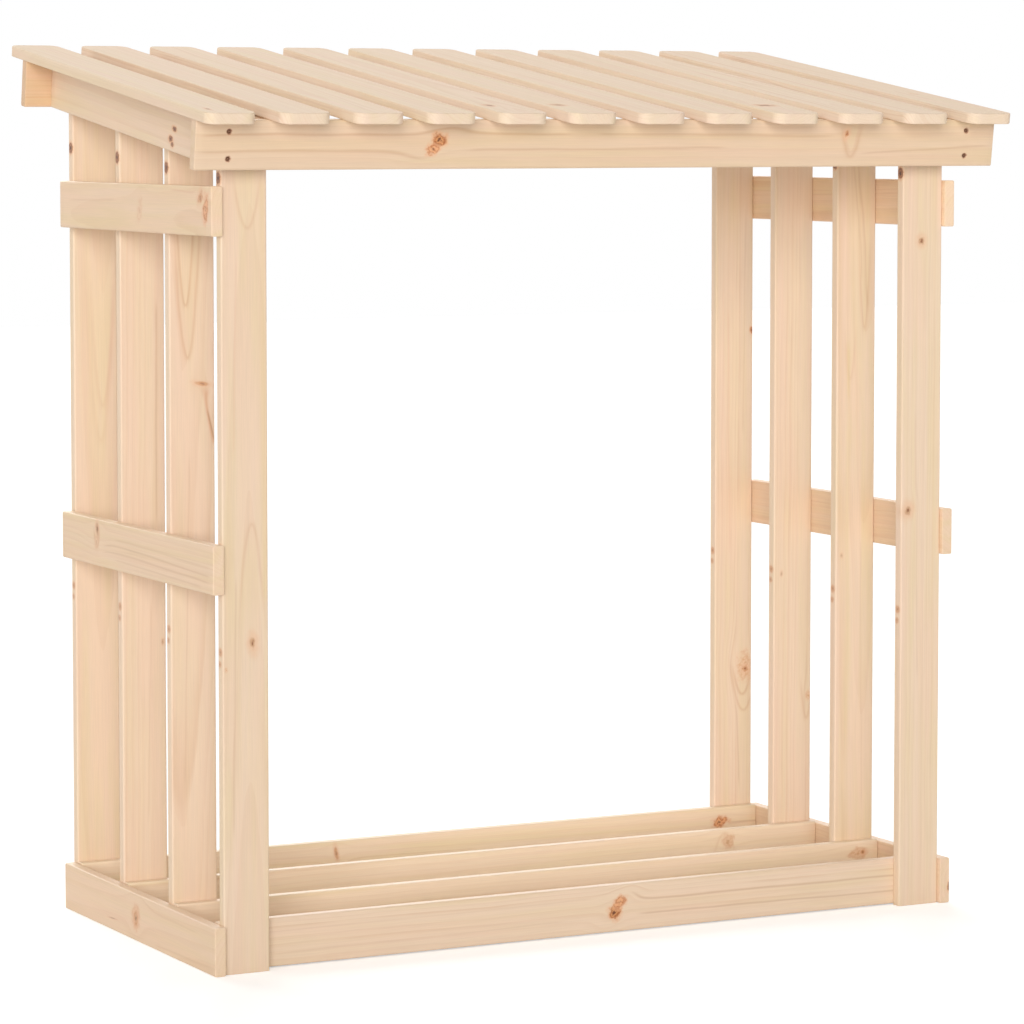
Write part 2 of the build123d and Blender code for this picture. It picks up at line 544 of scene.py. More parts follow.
# Heart is how far the core reaches, and soft is where the edge starts to fade, as shares of the knot's size.
knotTones = dict(
    dark=dict(body=(0.66, 0.31, 0.13, 1), rim=(0.40, 0.13, 0.04, 1), core=(0.16, 0.05, 0.02, 1),
              halo=(0.78, 0.42, 0.22, 1), glow=0.9, heart=0.26, soft=0.6),
    edge=dict(body=(0.48, 0.22, 0.10, 1), rim=(0.24, 0.09, 0.04, 1), core=(0.12, 0.05, 0.025, 1),
              halo=(0.78, 0.42, 0.22, 1), glow=0.8, heart=0.4, soft=0.7),
    ring=dict(body=(0.79, 0.42, 0.22, 1), rim=(0.52, 0.19, 0.07, 1), core=(0.32, 0.13, 0.06, 1),
              halo=(0.80, 0.45, 0.26, 1), glow=0.8, heart=0.05, soft=0.5),
    amber=dict(body=(0.68, 0.36, 0.19, 1), rim=(0.58, 0.27, 0.12, 1), core=(0.40, 0.17, 0.08, 1),
               halo=(0.80, 0.50, 0.32, 1), glow=0.7, heart=0.35, soft=0.5),
    pale=dict(body=(0.81, 0.56, 0.37, 1), rim=(0.71, 0.42, 0.24, 1), core=(0.62, 0.34, 0.18, 1),
              halo=(0.81, 0.56, 0.38, 1), glow=0.5, heart=0.2, soft=0.4),
    small=dict(body=(0.55, 0.31, 0.17, 1), rim=(0.48, 0.25, 0.13, 1), core=(0.30, 0.14, 0.07, 1),
               halo=(0.79, 0.51, 0.33, 1), glow=0.75, heart=0.35, soft=0.2),
    hole=dict(body=(0.30, 0.13, 0.06, 1), rim=(0.26, 0.10, 0.05, 1), core=(0.12, 0.05, 0.03, 1),
              halo=(0.75, 0.46, 0.30, 1), glow=0.4, heart=0.6, soft=0.7),
)

knotLook = dict(
    coarseFrom=10.0,  # millimetres of length and width together, past which a knot is coarse
    coarseLump=8.0,  # size of the unevenness in a coarse knot
    fineLump=3.2,
    unevenness=2.4,
    fleckFineness=1.9,  # flecks to a lump
    pullAcross=0.22,  # the lower, the further to its sides a knot bends the rings
    haloStart=0.7,  # counted in the knot's size, as the places below
    rimBand=(0.40, 0.85),  # where the body turns darker
    rimShare=0.30,
    fleckBand=(0.50, 0.78),
    coreRaggedness=0.35,
    coreFade=0.35,
    bodyEnd=1.2,
)


def isCoarse(knot):
    return knot["along"] + knot["across"] > knotLook["coarseFrom"]


# The place in the board, in millimetres: g along the grain, w across the wide face and t through it.
def placeInBoard(sheet):
    attribute = sheet.nodes.new("ShaderNodeAttribute")
    attribute.attribute_name = "woodPlace"
    split = sheet.nodes.new("ShaderNodeSeparateXYZ")
    sheet.feed(split.inputs[0], attribute.outputs["Vector"])
    return split.outputs


# Noise of a given length across the grain, drawn out along the grain where stretch is under 1.
def grainNoise(sheet, spot, stretch, shift, length, detail=1.5, roughness=0.5):
    g, w, t = spot
    place = sheet.combine(sheet.math("MULTIPLY_ADD", g, stretch, shift), w, t)
    return sheet.noise(place, 1 / length, detail, roughness)


# A slow sway to both sides that depends only on the place along the grain.
def swayNoise(sheet, g, shift, length, detail):
    place = sheet.math("ADD", g, shift)
    return sheet.math("SUBTRACT", sheet.noise(place, 1 / length, detail, dimensions="1D"), 0.5)


# How far a point lies from each knot, counted in the knot's size and roughened by one coarse and one fine
# unevenness for the large and the small knots. The place across the grain is drawn towards each knot by a
# bell curve, so that the rings part and close again around it.
def knotField(sheet, spot, knots, seed):
    g, w, t = spot
    m = sheet.math
    rough, fleck = {}, {}
    for coarse in {isCoarse(knot) for knot in knots}:
        lump = knotLook["coarseLump"] if coarse else knotLook["fineLump"]
        where = sheet.combine(g, w, m("ADD", t, seed * 9.0))
        rough[coarse] = m("SUBTRACT", sheet.noise(where, 1 / lump, 2.5, 0.6), 0.5)
        fleck[coarse] = sheet.noise(where, knotLook["fleckFineness"] / lump, 1.5, 0.6)
    bent = w
    shown = []
    for knot in knots:
        offG = m("SUBTRACT", g, knot["g"])
        offW = m("SUBTRACT", w, knot["w"])
        if knot["turn"]:
            cosTurn = math.cos(math.radians(knot["turn"]))
            sinTurn = math.sin(math.radians(knot["turn"]))
            offG, offW = (m("ADD", m("MULTIPLY", offG, cosTurn), m("MULTIPLY", offW, sinTurn)),
                          m("SUBTRACT", m("MULTIPLY", offW, cosTurn), m("MULTIPLY", offG, sinTurn)))
        offG = m("DIVIDE", offG, knot["along"])
        offW = m("DIVIDE", offW, knot["across"])
        square = m("ADD", m("MULTIPLY", offG, offG), m("MULTIPLY", offW, offW))
        if knot["through"] is not None:
            offT = m("DIVIDE", m("SUBTRACT", t, knot["t"]), knot["through"])
            square = m("ADD", square, m("MULTIPLY", offT, offT))
        uneven = m("MULTIPLY", rough[isCoarse(knot)], knot["ragged"] * knotLook["unevenness"])
        shown.append((knot, m("ADD", m("SQRT", square), uneven), fleck[isCoarse(knot)]))
        wideG = m("MULTIPLY", offG, 1 / knot["sweep"])
        wideW = m("MULTIPLY", m("MULTIPLY", offW, offW), knotLook["pullAcross"])
        reach = m("ADD", m("MULTIPLY", wideG, wideG), wideW)
        pull = m("MULTIPLY", m("EXPONENT", m("MULTIPLY", reach, -1.0)), knot["bend"])
        bent = m("SUBTRACT", bent, m("MULTIPLY", m("SUBTRACT", w, knot["w"]), pull))
    return bent, shown


ringLook = dict(
    swayLength=210,  # millimetres, of the pith's slow sway across the board
    swayLengthThrough=260,
    rippleLength=16,  # across the grain
    rippleStretch=0.18,
    ripple=1.6,  # how far the ripple moves a ring
    unevenness=3.6,  # years
    line=(0.38, 0.90),  # a line grows over this share of its year, and ends with the year
    contrast=2.8,  # the higher, the fewer lines are strong
    fadeBand=(0.30, 0.65),
    faintest=0.15,
    sawnEnd=(1.0, 0.3),  # millimetres from a sawn end between which the lines turn faint
    onSawnEnd=0.3,
)


# Year rings: the distance from the leaning pith, rippled and made uneven, counted in years. The line is the
# end of the growing season, stronger in some years and fading along the grain, and faint on a sawn end.
def yearRings(sheet, spot, bent, slow, ripple, cut, halfG, seed):
    g, t = spot[0], spot[2]
    m = sheet.math
    slowT = swayNoise(sheet, g, seed * 131.0 + 40, ringLook["swayLengthThrough"], 1.0)
    pithW, pithT = cut["pith"]
    leanW, leanT = cut["lean"]
    swayW = m("MULTIPLY", slow, cut["sway"])
    swayT = m("MULTIPLY", slowT, cut["sway"])
    fromW = m("SUBTRACT", bent, m("ADD", m("MULTIPLY_ADD", g, leanW, pithW), swayW))
    fromT = m("SUBTRACT", t, m("ADD", m("MULTIPLY_ADD", g, leanT, pithT), swayT))
    radius = m("SQRT", m("ADD", m("MULTIPLY", fromW, fromW), m("MULTIPLY", fromT, fromT)))
    radius = m("ADD", radius, m("MULTIPLY", ripple, ringLook["ripple"]))
    uneven = sheet.noise(m("ADD", radius, seed * 5.0), 1 / (cut["spacing"] * 3.5), 1.0, dimensions="1D")
    uneven = m("MULTIPLY", uneven, ringLook["unevenness"])
    years = m("ADD", m("DIVIDE", radius, cut["spacing"]), uneven)
    year = m("FLOOR", years)
    season = m("FRACT", years)
    rise = sheet.spread(season, *ringLook["line"])
    fall = sheet.spread(season, ringLook["line"][1], 1.0, 1.0, 0.0)
    character = m("POWER", sheet.whiteNoise(m("ADD", year, seed * 3.0)), ringLook["contrast"])
    fadePlace = m("ADD", m("MULTIPLY", g, 0.006), m("MULTIPLY", year, 17.3))
    fade = sheet.noise(fadePlace, 1.0, 1.0, dimensions="1D")
    faded = sheet.spread(fade, *ringLook["fadeBand"], ringLook["faintest"], 1.0)
    strength = m("MULTIPLY", m("MULTIPLY_ADD", character, 0.9, 0.1), faded)
    sawnFrom, sawnTo = [halfG - away for away in ringLook["sawnEnd"]]
    sawn = sheet.spread(m("ABSOLUTE", g), sawnFrom, sawnTo, 1.0, ringLook["onSawnEnd"])
    return season, m("MULTIPLY", m("MULTIPLY", m("MULTIPLY", rise, fall), strength), sawn)


groundLook = dict(
    strawWidth=15,  # millimetres across the grain
    strawStretch=0.05,  # the lower, the longer along the grain
    strawBand=(0.35, 0.68),
    strawMost=1.6,  # times the cut's own share
    rosyWidth=24,
    rosyStretch=0.09,
    rosyBand=(0.42, 0.72),
    rosyMost=0.7,
    inYear=0.10,  # darkening by the end of each year
)


# The wood between the lines: areas of straw and rosy wood, and a slow darkening within each year.
def groundColour(sheet, spot, season, look, cut, seed):
    bands = grainNoise(sheet, spot, groundLook["strawStretch"], seed * 7.0, groundLook["strawWidth"])
    warm = grainNoise(sheet, spot, groundLook["rosyStretch"], seed * 11.0 + 5, groundLook["rosyWidth"])
    strawShare = sheet.spread(bands, *groundLook["strawBand"], 0.0, cut["straw"] * groundLook["strawMost"])
    rosyShare = sheet.spread(warm, *groundLook["rosyBand"], 0.0, groundLook["rosyMost"])
    ground = sheet.mix(strawShare, look["early"], look["straw"])
    ground = sheet.mix(rosyShare, ground, look["rosy"])
    inYear = sheet.math("MULTIPLY", sheet.math("MULTIPLY", season, season), groundLook["inYear"])
    return sheet.mix(inYear, ground, look["late"])


archLook = dict(
    ripple=3.0,
    fade=(0.45, 1.2),  # shares of its length between which a bow fades out
    fillEdge=(-0.35, 0.02),
)


# A bow: the line where the square of the place to the side equals the way gone from the tip. It is drawn as
# a bell curve over the distance from that line, and filled with straw-coloured wood on its inner side.
def paintArch(sheet, ground, spot, ripple, arch, look):
    g, w = spot[:2]
    m = sheet.math
    along, aside = (w, g) if arch["crosswise"] else (g, w)
    gone = m("MULTIPLY", m("SUBTRACT", along, arch["at"]), arch["way"] / arch["length"])
    offMiddle = m("ADD", m("SUBTRACT", aside, arch["middle"]), m("MULTIPLY", ripple, archLook["ripple"]))
    side = m("DIVIDE", offMiddle, arch["half"])
    bow = m("SUBTRACT", m("MULTIPLY", side, side), gone)
    steep = m("SQRT", m("ADD", m("POWER", m("MULTIPLY", side, 2 / arch["half"]), 2.0), arch["length"] ** -2))
    off = m("DIVIDE", bow, m("MULTIPLY", steep, arch["width"]))
    window = sheet.spread(gone, *archLook["fade"], 1.0, 0.0)
    inside = m("MULTIPLY", sheet.spread(bow, *archLook["fillEdge"], arch["fill"], 0.0), window)
    ground = sheet.mix(inside, ground, look["straw"])
    bowLine = m("MULTIPLY", m("EXPONENT", m("MULTIPLY", m("MULTIPLY", off, off), -1.0)), window)
    return sheet.mix(m("MULTIPLY", bowLine, arch["show"]), ground, look["late"])


# A streak: a bell curve over the distance from a straight line that sways with the fibres.
def paintStreak(sheet, ground, g, bent, sway, streak):
    m = sheet.math
    startG, startW = streak["start"]
    endG, endW = streak["end"]
    slope = (endW - startW) / (endG - startG)
    centre = m("MULTIPLY_ADD", g, slope, startW - slope * startG)
    swayed = m("MULTIPLY", sway, streak["sway"])
    off = m("DIVIDE", m("SUBTRACT", m("SUBTRACT", bent, centre), swayed), streak["width"])
    starts = sheet.spread(g, startG - streak["soft"], startG + streak["soft"])
    stops = sheet.spread(g, endG - streak["soft"], endG + streak["soft"], 1.0, 0.0)
    bell = m("EXPONENT", m("MULTIPLY", m("MULTIPLY", off, off), -1.0))
    amount = m("MULTIPLY", bell, m("MULTIPLY", starts, stops))
    return sheet.mix(m("MULTIPLY", amount, streak["show"]), ground, streakTones[streak["tone"]])


# A knot, from the outside in: its halo in the wood around, the flecked body with a darker rim, and the core.
def paintKnot(sheet, colour, knot, far, fleck):
    m = sheet.math
    tone = knotTones[knot["tone"]]
    halo = sheet.spread(far, knotLook["haloStart"], knot["halo"], 1.0, 0.0)
    colour = sheet.mix(m("MULTIPLY", halo, tone["glow"] * knot["show"]), colour, tone["halo"])
    band = m("MULTIPLY", sheet.spread(far, *knotLook["rimBand"]), knotLook["rimShare"])
    heart = sheet.mix(sheet.spread(m("ADD", fleck, band), *knotLook["fleckBand"]), tone["body"], tone["rim"])
    offCore = m("MULTIPLY_ADD", fleck, knotLook["coreRaggedness"], far)
    core = sheet.spread(offCore, tone["heart"], tone["heart"] + knotLook["coreFade"], 1.0, 0.0)
    heart = sheet.mix(core, heart, tone["core"])
    inside = sheet.spread(far, tone["soft"], knotLook["bodyEnd"], 1.0, 0.0)
    return sheet.mix(m("MULTIPLY", inside, knot["show"]), colour, heart), inside


# Wood as a solid: every face and end shows the same rings, streaks and knots, cut where the face lies. Lines
# and knots are a little smoother than the fibres between them, and stand a little higher.
def softwood(name, look, cut, features, half, seed):
    material = bpy.data.materials.new(name)
    material.use_nodes = True
    sheet = nodeSheet(material)
    m = sheet.math
    shader = sheet.nodes["Principled BSDF"]
    halfG, halfW = half[:2]
    spot = placeInBoard(sheet)
    g, w = spot[:2]
    slow = swayNoise(sheet, g, seed * 97.0, ringLook["swayLength"], 1.5)
    waves = grainNoise(sheet, spot, ringLook["rippleStretch"], seed * 13.7, ringLook["rippleLength"], 2.0)
    ripple = m("SUBTRACT", waves, 0.5)
    fibre = grainNoise(sheet, spot, look["fibreStretch"], seed, look["fibreWidth"], 2.0, 0.6)
    bent, shown = knotField(sheet, spot, features.knots, seed)
    season, line = yearRings(sheet, spot, bent, slow, ripple, cut, halfG, seed)

    ground = groundColour(sheet, spot, season, look, cut, seed)
    for arch in features.arches:
        ground = paintArch(sheet, ground, spot, ripple, arch, look)
    for streak in features.streaks:
        ground = paintStreak(sheet, ground, g, bent, m("ADD", ripple, slow), streak)
    colour = sheet.mix(m("MULTIPLY", line, cut["line"]), ground, look["late"])
    # Painted light: the narrow faces and their rounded edges are painted paler, for the brighter light that
    # falls on tops and sides.
    if look["paleEdge"]:
        fadeFrom, fadeTo = [halfW - away for away in look["edgeFade"]]
        narrow = sheet.spread(m("ABSOLUTE", w), fadeFrom, fadeTo, 0.0, look["paleEdge"])
        colour = sheet.mix(narrow, colour, look["edgeTone"])
    grain = sheet.spread(fibre, 0.25, 0.75, *look["fibreTone"], smooth=False)
    colour = sheet.mix(1.0, colour, sheet.combine(grain, grain, grain), blend="MULTIPLY")
    hard = None
    for knot, far, fleck in shown:
        colour, inside = paintKnot(sheet, colour, knot, far, fleck)
        hard = inside if hard is None else m("MAXIMUM", hard, inside)

    gloss = m("MULTIPLY_ADD", fibre, look["fibreGloss"], look["roughness"] - look["fibreGloss"] / 2)
    gloss = m("SUBTRACT", gloss, m("MULTIPLY", line, look["lineGloss"]))
    height = m("ADD", m("MULTIPLY", line, look["lineHeight"]), m("MULTIPLY", fibre, look["fibreHeight"]))
    if hard is not None:
        gloss = m("SUBTRACT", gloss, m("MULTIPLY", hard, look["knotGloss"]))
        height = m("ADD", height, m("MULTIPLY", hard, look["knotHeight"]))
    bump = sheet.nodes.new("ShaderNodeBump")
    bump.inputs["Strength"].default_value = look["bumpStrength"]
    bump.inputs["Distance"].default_value = look["bumpDepth"]
    sheet.feed(bump.inputs["Height"], height)
    shader.inputs["Specular IOR Level"].default_value = look["specular"]
    sheet.feed(shader.inputs["Base Color"], colour)
    sheet.feed(shader.inputs["Roughness"], gloss)
    sheet.feed(shader.inputs["Normal"], bump.outputs["Normal"])
    return material


# A knot that runs through the board and shows on its two wide faces. It is turned by some degrees from the
# grain, and bends the grain around it by bend, over sweep times its length.
def knotAt(g, w, along, across, tone="amber", turn=0.0, show=1.0, bend=0.8, sweep=3.0, halo=1.9, ragged=0.5,
           depth=0.12):
    return dict(g=g, w=w, along=along, across=across, through=None, tone=tone, turn=turn, show=show,
                bend=bend, sweep=sweep, halo=halo, ragged=ragged, depth=depth)


halfWidth = 28.75  # of the frame's boards, in millimetres
halfThickness = 7.0


# A knot that comes out on a narrow face. Side is -1 or 1 along the width.
def edgeKnotAt(g, side, along, through, tone="dark", show=1.0, halo=1.7, reach=2.2, t=0.0):
    knot = knotAt(g, side * halfWidth, along, reach, tone, 0.0, show, 0.3, 2.0, halo, 0.3, 0.0)
    return dict(knot, t=t, through=through)


faceKnotDepth = 2.6  # how deep a mark on one face alone goes


# The torn, shaded wood round a countersunk screw, on one face only.
def sinkMark(sink, face):
    size = sink["radius"]
    knot = knotAt(sink["g"], sink["w"], size, size, "hole", 0.0, 0.9, 0.0, 1.0, 1.6, 0.3, 0.0)
    return dict(knot, t=face * halfThickness, through=faceKnotDepth)


# A soft line along the grain, from one place (g, w) to another.
def streakAt(start, end, show=0.4, width=1.2, tone="brown", sway=2.0, soft=12.0):
    return dict(start=start, end=end, show=show, width=width, tone=tone, sway=sway, soft=soft)


# A bow-shaped grain line with its tip at (g, w). It opens along the grain in the given way, or across it.
def archAt(g, w, way, half, length, show=0.4, fill=0.0, width=2.0, crosswise=False):
    at, middle = (w, g) if crosswise else (g, w)
    return dict(at=at, middle=middle, way=way, half=half, length=length, show=show, fill=fill, width=width,
                crosswise=crosswise)


streakTones = dict(brown=(0.56, 0.34, 0.19, 1), rosy=(0.72, 0.42, 0.26, 1), straw=(0.78, 0.60, 0.34, 1),
                   dark=(0.36, 0.18, 0.09, 1))

# The same edge marks come back on every upright: two knots, and near the top a painted dark oval that stands
# in for a screw hole and its shade.
uprightEdgeKnotsAndHoleShade = (
    # Painted shade: a dark oval where a screw hole sits, drawn like a knot and not carved.
    edgeKnotAt(424, -1, 7.0, 6.0, tone="edge"),
    edgeKnotAt(-121, -1, 5.0, 5.0, tone="amber", show=0.7),
    edgeKnotAt(-135, -1, 4.0, 4.5, tone="amber", show=0.6, t=1.5),
)

# Painted light: the left rails are tinted a little warmer, making up for the grey look that the open sky's
# light gives them.
railTone = (1.01, 0.985, 0.955)
shadeLift = (1.09, 1.13, 1.13)  # painted light: the inner base boards are painted paler, to lift the shade cast by the boards in front of them

# Each board's own cut, knots, streaks and bows, in millimetres from its middle.
boardWood = dict(
    left_upright_1=dict(
        cut=dict(pith=(6, 48), lean=(0.004, 0.018), spacing=7.0, line=0.25, straw=0.5),
        knots=(knotAt(-112, 9, 8, 3.6, "small", turn=-6, halo=3.0, ragged=0.7),
               knotAt(-141, -24.5, 3, 2, "pale")),
        arches=(archAt(26, 8, -1, 17, 120, 0.25, 0.5), archAt(367, 4, 1, 17, 60, 0.25, 0.2)),
        streaks=(streakAt((-330, -16), (-40, -12), 0.25),
                 streakAt((110, -14), (330, -10), 0.2, tone="rosy"),
                 streakAt((-60, 24), (420, 23), 0.45, 3.5, "straw")),
    ),
    left_upright_2=dict(
        cut=dict(pith=(-12, 40), lean=(0.01, -0.03), spacing=6.0, line=0.25),
        knots=(knotAt(169, 12.5, 2.8, 9, "amber", turn=8, show=0.75, halo=2.2, ragged=0.4, bend=0.9,
                      sweep=6.0),),
        arches=(archAt(200, -6, 1, 17, 170, 0.38, 0.4), archAt(262, -8, 1, 13, 150, 0.42, 0.0, 1.6)),
        streaks=(streakAt((99, 27), (163, 14), 0.8, 2.0, "rosy", 1.0, 8),
                 streakAt((99, 29), (135, 20), 0.5, 1.2, "dark", 1.0, 6),
                 streakAt((-300, -12), (80, -4), 0.2)),
    ),
    left_upright_3=dict(
        cut=dict(pith=(40, 50), lean=(0.002, 0.006), spacing=6.5, line=0.2),
        knots=(knotAt(-166, 24, 4, 2, "small", show=0.6),),
        streaks=(streakAt((-17, 17), (245, 18), 0.35), streakAt((-380, 4), (-120, 9), 0.2)),
    ),
    left_upright_4=dict(
        cut=dict(pith=(9, 46), lean=(0.0, -0.022), spacing=7.0, line=0.2, straw=0.5),
        arches=(archAt(104, 9, 1, 17, 170, 0.22, 0.6, 3.0), archAt(60, 6, 1, 22, 260, 0.12, 0.3, 3.0)),
    ),
    right_upright_1=dict(
        cut=dict(pith=(-70, 20), lean=(0.004, 0.004), spacing=7.0, line=0.22),
        knots=(knotAt(340, -1.3, 5.0, 4.2, "small", halo=2.8, ragged=0.6),
               knotAt(3.7, -18.6, 6.2, 4.8, "small", turn=20, halo=3.2, ragged=0.6)),
        streaks=(streakAt((-420, 20), (430, 17), 0.2, 2.5, "straw"), streakAt((-200, -4), (120, -8), 0.15)),
    ),
    right_upright_2=dict(
        cut=dict(pith=(14, 38), lean=(0.012, -0.02), spacing=6.5, line=0.2, straw=0.6),
        knots=(knotAt(-78, -20, 4, 2.5, "small", show=0.35),),
        arches=(archAt(215, 12, 1, 9, 120, 0.30, 0.35, 2.0), archAt(150, -9, 1, 8, 60, 0.2, 0.4)),
        streaks=(streakAt((240, 18), (418, 4), 0.3, 1.8, sway=7.0),
                 streakAt((280, 9), (430, -4), 0.25, 1.6, sway=7.0),
                 streakAt((126, -10.6), (192, -10.6), 0.6, 2.2, "straw"),
                 streakAt((-400, 12), (-60, 8), 0.15)),
    ),
    right_upright_3=dict(
        cut=dict(pith=(60, 36), lean=(0.006, 0.004), spacing=6.0, line=0.22),
        knots=(knotAt(-291, 25, 6, 4, "pale", bend=0.9, sweep=4.0),
               knotAt(-127, -17, 4, 2.5, "small", show=0.4)),
        arches=(archAt(-320, 22, 1, 9, 50, 0.35),),
    ),
    right_upright_4=dict(
        cut=dict(pith=(58, 30), lean=(0.004, 0.003), spacing=6.0, line=0.25),
        knots=(knotAt(-281, 19, 19, 12, "pale", bend=0.9, sweep=2.2, halo=1.7, ragged=0.8),
               knotAt(-284, 19, 4, 4, "amber", halo=2.6, ragged=0.8), knotAt(176, 27, 4, 3, "dark")),
        arches=(archAt(-318, 14, 1, 15, 40, 0.45), archAt(-340, 16, 1, 22, 70, 0.35)),
        streaks=(streakAt((-440, 10), (-330, 6), 0.3), streakAt((40, 14), (330, 17), 0.2),
                 streakAt((-120, -6), (200, -10), 0.2, 1.6, "rosy")),
    ),
    left_top_rail=dict(
        cut=dict(tone=railTone, pith=(-10, 50), lean=(0.0, 0.03), spacing=6.0, line=0.2),
        knots=(knotAt(-206, 16, 6, 8, "amber", turn=30, show=0.8, halo=2.4, ragged=0.9),
               knotAt(-221, 2, 6, 14, "ring", turn=12, show=0.9, halo=2.0, ragged=1.0),
               knotAt(-22, -2, 7, 14, "pale", turn=15, show=0.6, ragged=0.8)),
        streaks=(streakAt((-190, 20), (-120, 24), 0.3, 1.3, "rosy"), streakAt((60, 8), (200, 6), 0.2)),
    ),
    left_middle_rail=dict(
        cut=dict(tone=railTone, pith=(40, 24), lean=(0.0, 0.01), spacing=5.5, line=0.25),
        knots=(knotAt(121, 16, 5, 9.5, "small", turn=-6, halo=2.2, bend=0.9, sweep=9.0),
               knotAt(124, 0, 7, 9, "pale", show=0.6, bend=0.3)),
        arches=(archAt(123, -4, 1, 9, 20, 0.6, 0.0, 2.0, crosswise=True),),
        streaks=(streakAt((-225, -8), (95, 3), 0.35), streakAt((-225, -15), (100, -6), 0.3),
                 streakAt((-225, 2), (60, 9), 0.2), streakAt((-200, -22), (60, -16), 0.25)),
    ),
    left_bottom_rail=dict(
        cut=dict(tone=railTone, pith=(-30, 60), lean=(0.0, 0.015), spacing=6.0, line=0.2),
        knots=(knotAt(4, 0, 13, 16, "pale", halo=1.5), knotAt(4, -1, 7, 9, "amber", turn=8, halo=2.0),
               knotAt(4, -1, 3.4, 5, "small", turn=8, halo=1.5, bend=0.0),
               knotAt(79, -14, 17, 1.0, "small", turn=-3, show=0.6, bend=0.0, halo=1.6, ragged=0.2)),
        streaks=(streakAt((-220, -20), (-60, -23), 0.2), streakAt((-180, 14), (-20, 16), 0.15)),
    ),
    left_rafter=dict(
        cut=dict(pith=(50, 40), lean=(0.0, 0.008), spacing=6.5, line=0.2),
        knots=(knotAt(-135, -1, 6, 3, "edge"), knotAt(-125, -14, 6, 3.6, "edge"),
               knotAt(-130, -20, 4.5, 3, "edge", show=0.9)),
    ),
    # Painted light: the right top rail is painted paler, to lift the shade under the roof on its inner face.
    right_top_rail=dict(cut=dict(tone=(1.08, 1.05, 1.0))),
    # Painted shade: the right middle and bottom rails are tinted darker and oranger, for the warm shade on
    # their inner faces.
    right_middle_rail=dict(cut=dict(tone=(1.0, 0.97, 0.93))),
    right_bottom_rail=dict(
        cut=dict(tone=(1.0, 0.97, 0.93)),
        knots=(dict(knotAt(-238, -8, 5, 6, "edge"), t=halfThickness, through=faceKnotDepth),),
    ),
    base_board_1=dict(
        cut=dict(pith=(-60, 34), lean=(0.0, 0.004), spacing=7.5, line=0.3),
        knots=(knotAt(32, -5, 7.5, 8, "dark", turn=40, halo=1.8, ragged=0.85, sweep=5.0),
               knotAt(40, 7, 9, 5.5, "ring", turn=38, halo=1.7, ragged=0.9, bend=0.3)),
        streaks=(streakAt((60, 8), (500, 6.7), 0.5, 1.3, sway=3.0),
                 streakAt((70, -9), (500, -13), 0.45, 1.3, sway=3.0),
                 streakAt((-500, 12), (0, 14), 0.15), streakAt((-420, -14), (-40, -10), 0.15)),
    ),
    base_board_2=dict(
        cut=dict(tone=shadeLift, pith=(-70, 30), spacing=7.0, line=0.3),
        knots=(knotAt(459, 12, 14, 8, "pale", halo=1.4, ragged=0.7),
               knotAt(466, 14, 3, 3, "amber", halo=2.0)),
    ),
    base_board_3=dict(
        cut=dict(tone=shadeLift, pith=(-66, 36), spacing=7.0, line=0.3),
        knots=(knotAt(355, 13, 10, 10, "pale", halo=1.4, ragged=0.7, show=0.8),),
        arches=(archAt(350, 24, -1, 15, 26, 0.25, 0.0, 2.0, crosswise=True),),
    ),
    base_board_4=dict(
        cut=dict(tone=shadeLift, pith=(-64, 30), spacing=6.5, line=0.3),
        knots=(knotAt(-139, 13, 2.5, 9, "amber", turn=10, show=0.7, halo=2.4, sweep=8.0),
               knotAt(433, 9, 11, 6, "ring", turn=8, halo=1.8, ragged=0.9)),
        streaks=(streakAt((445, 8), (500, 7), 0.4),),
    ),
    front_purlin=dict(
        # Painted shade: the tone darkens the front purlin, whose face tilts downwards, away from the light.
        cut=dict(tone=(0.935, 0.91, 0.87), pith=(-90, 24), lean=(0.0, 0.002), spacing=11.0, line=0.15,
                 sway=5.0),
        knots=(knotAt(-231, 5, 9, 8, "dark", turn=20, halo=1.8, ragged=0.85, sweep=5.0, bend=0.7),
               knotAt(-238, -6, 8, 5.5, "ring", turn=30, halo=1.7, ragged=0.9, bend=0.3),
               knotAt(323, 12, 2.8, 4.5, "amber", turn=-15, halo=3.0)),
        arches=(archAt(330, -16, 1, 15, 40, 0.34, 0.0, 2.4, crosswise=True),
                archAt(330, -11, 1, 12, 40, 0.20, 0.5, 2.0, crosswise=True)),
        streaks=(streakAt((-530, 12), (-60, 11.5), 0.42, 1.6, sway=4.0),
                 streakAt((-20, 12.5), (300, 9), 0.30, 1.5, sway=4.0),
                 streakAt((-530, -7), (-250, -8), 0.35, 1.6, sway=4.0),
                 streakAt((-190, -6.5), (150, -5), 0.35, 1.5, sway=4.0),
                 streakAt((350, -12), (530, -4), 0.35, 1.4, sway=4.0)),
    ),
    # Painted shade: the rear purlin is toned darker and oranger, for the shade under the roof.
    rear_purlin=dict(cut=dict(tone=(0.88, 0.77, 0.67))),
    roof_slat_01=dict(knots=(knotAt(-282, -16, 8, 3, "small"),)),
    roof_slat_05=dict(knots=(knotAt(-247, -14, 9, 6.5, "small"),)),
    roof_slat_06=dict(knots=(knotAt(-242, -12, 8, 9, "small"),)),
    roof_slat_09=dict(knots=(knotAt(-243, -5, 9, 13, "small", ragged=0.8),)),
    roof_slat_12=dict(knots=(knotAt(-127, 5, 9, 5, "pale", show=0.5),)),
)

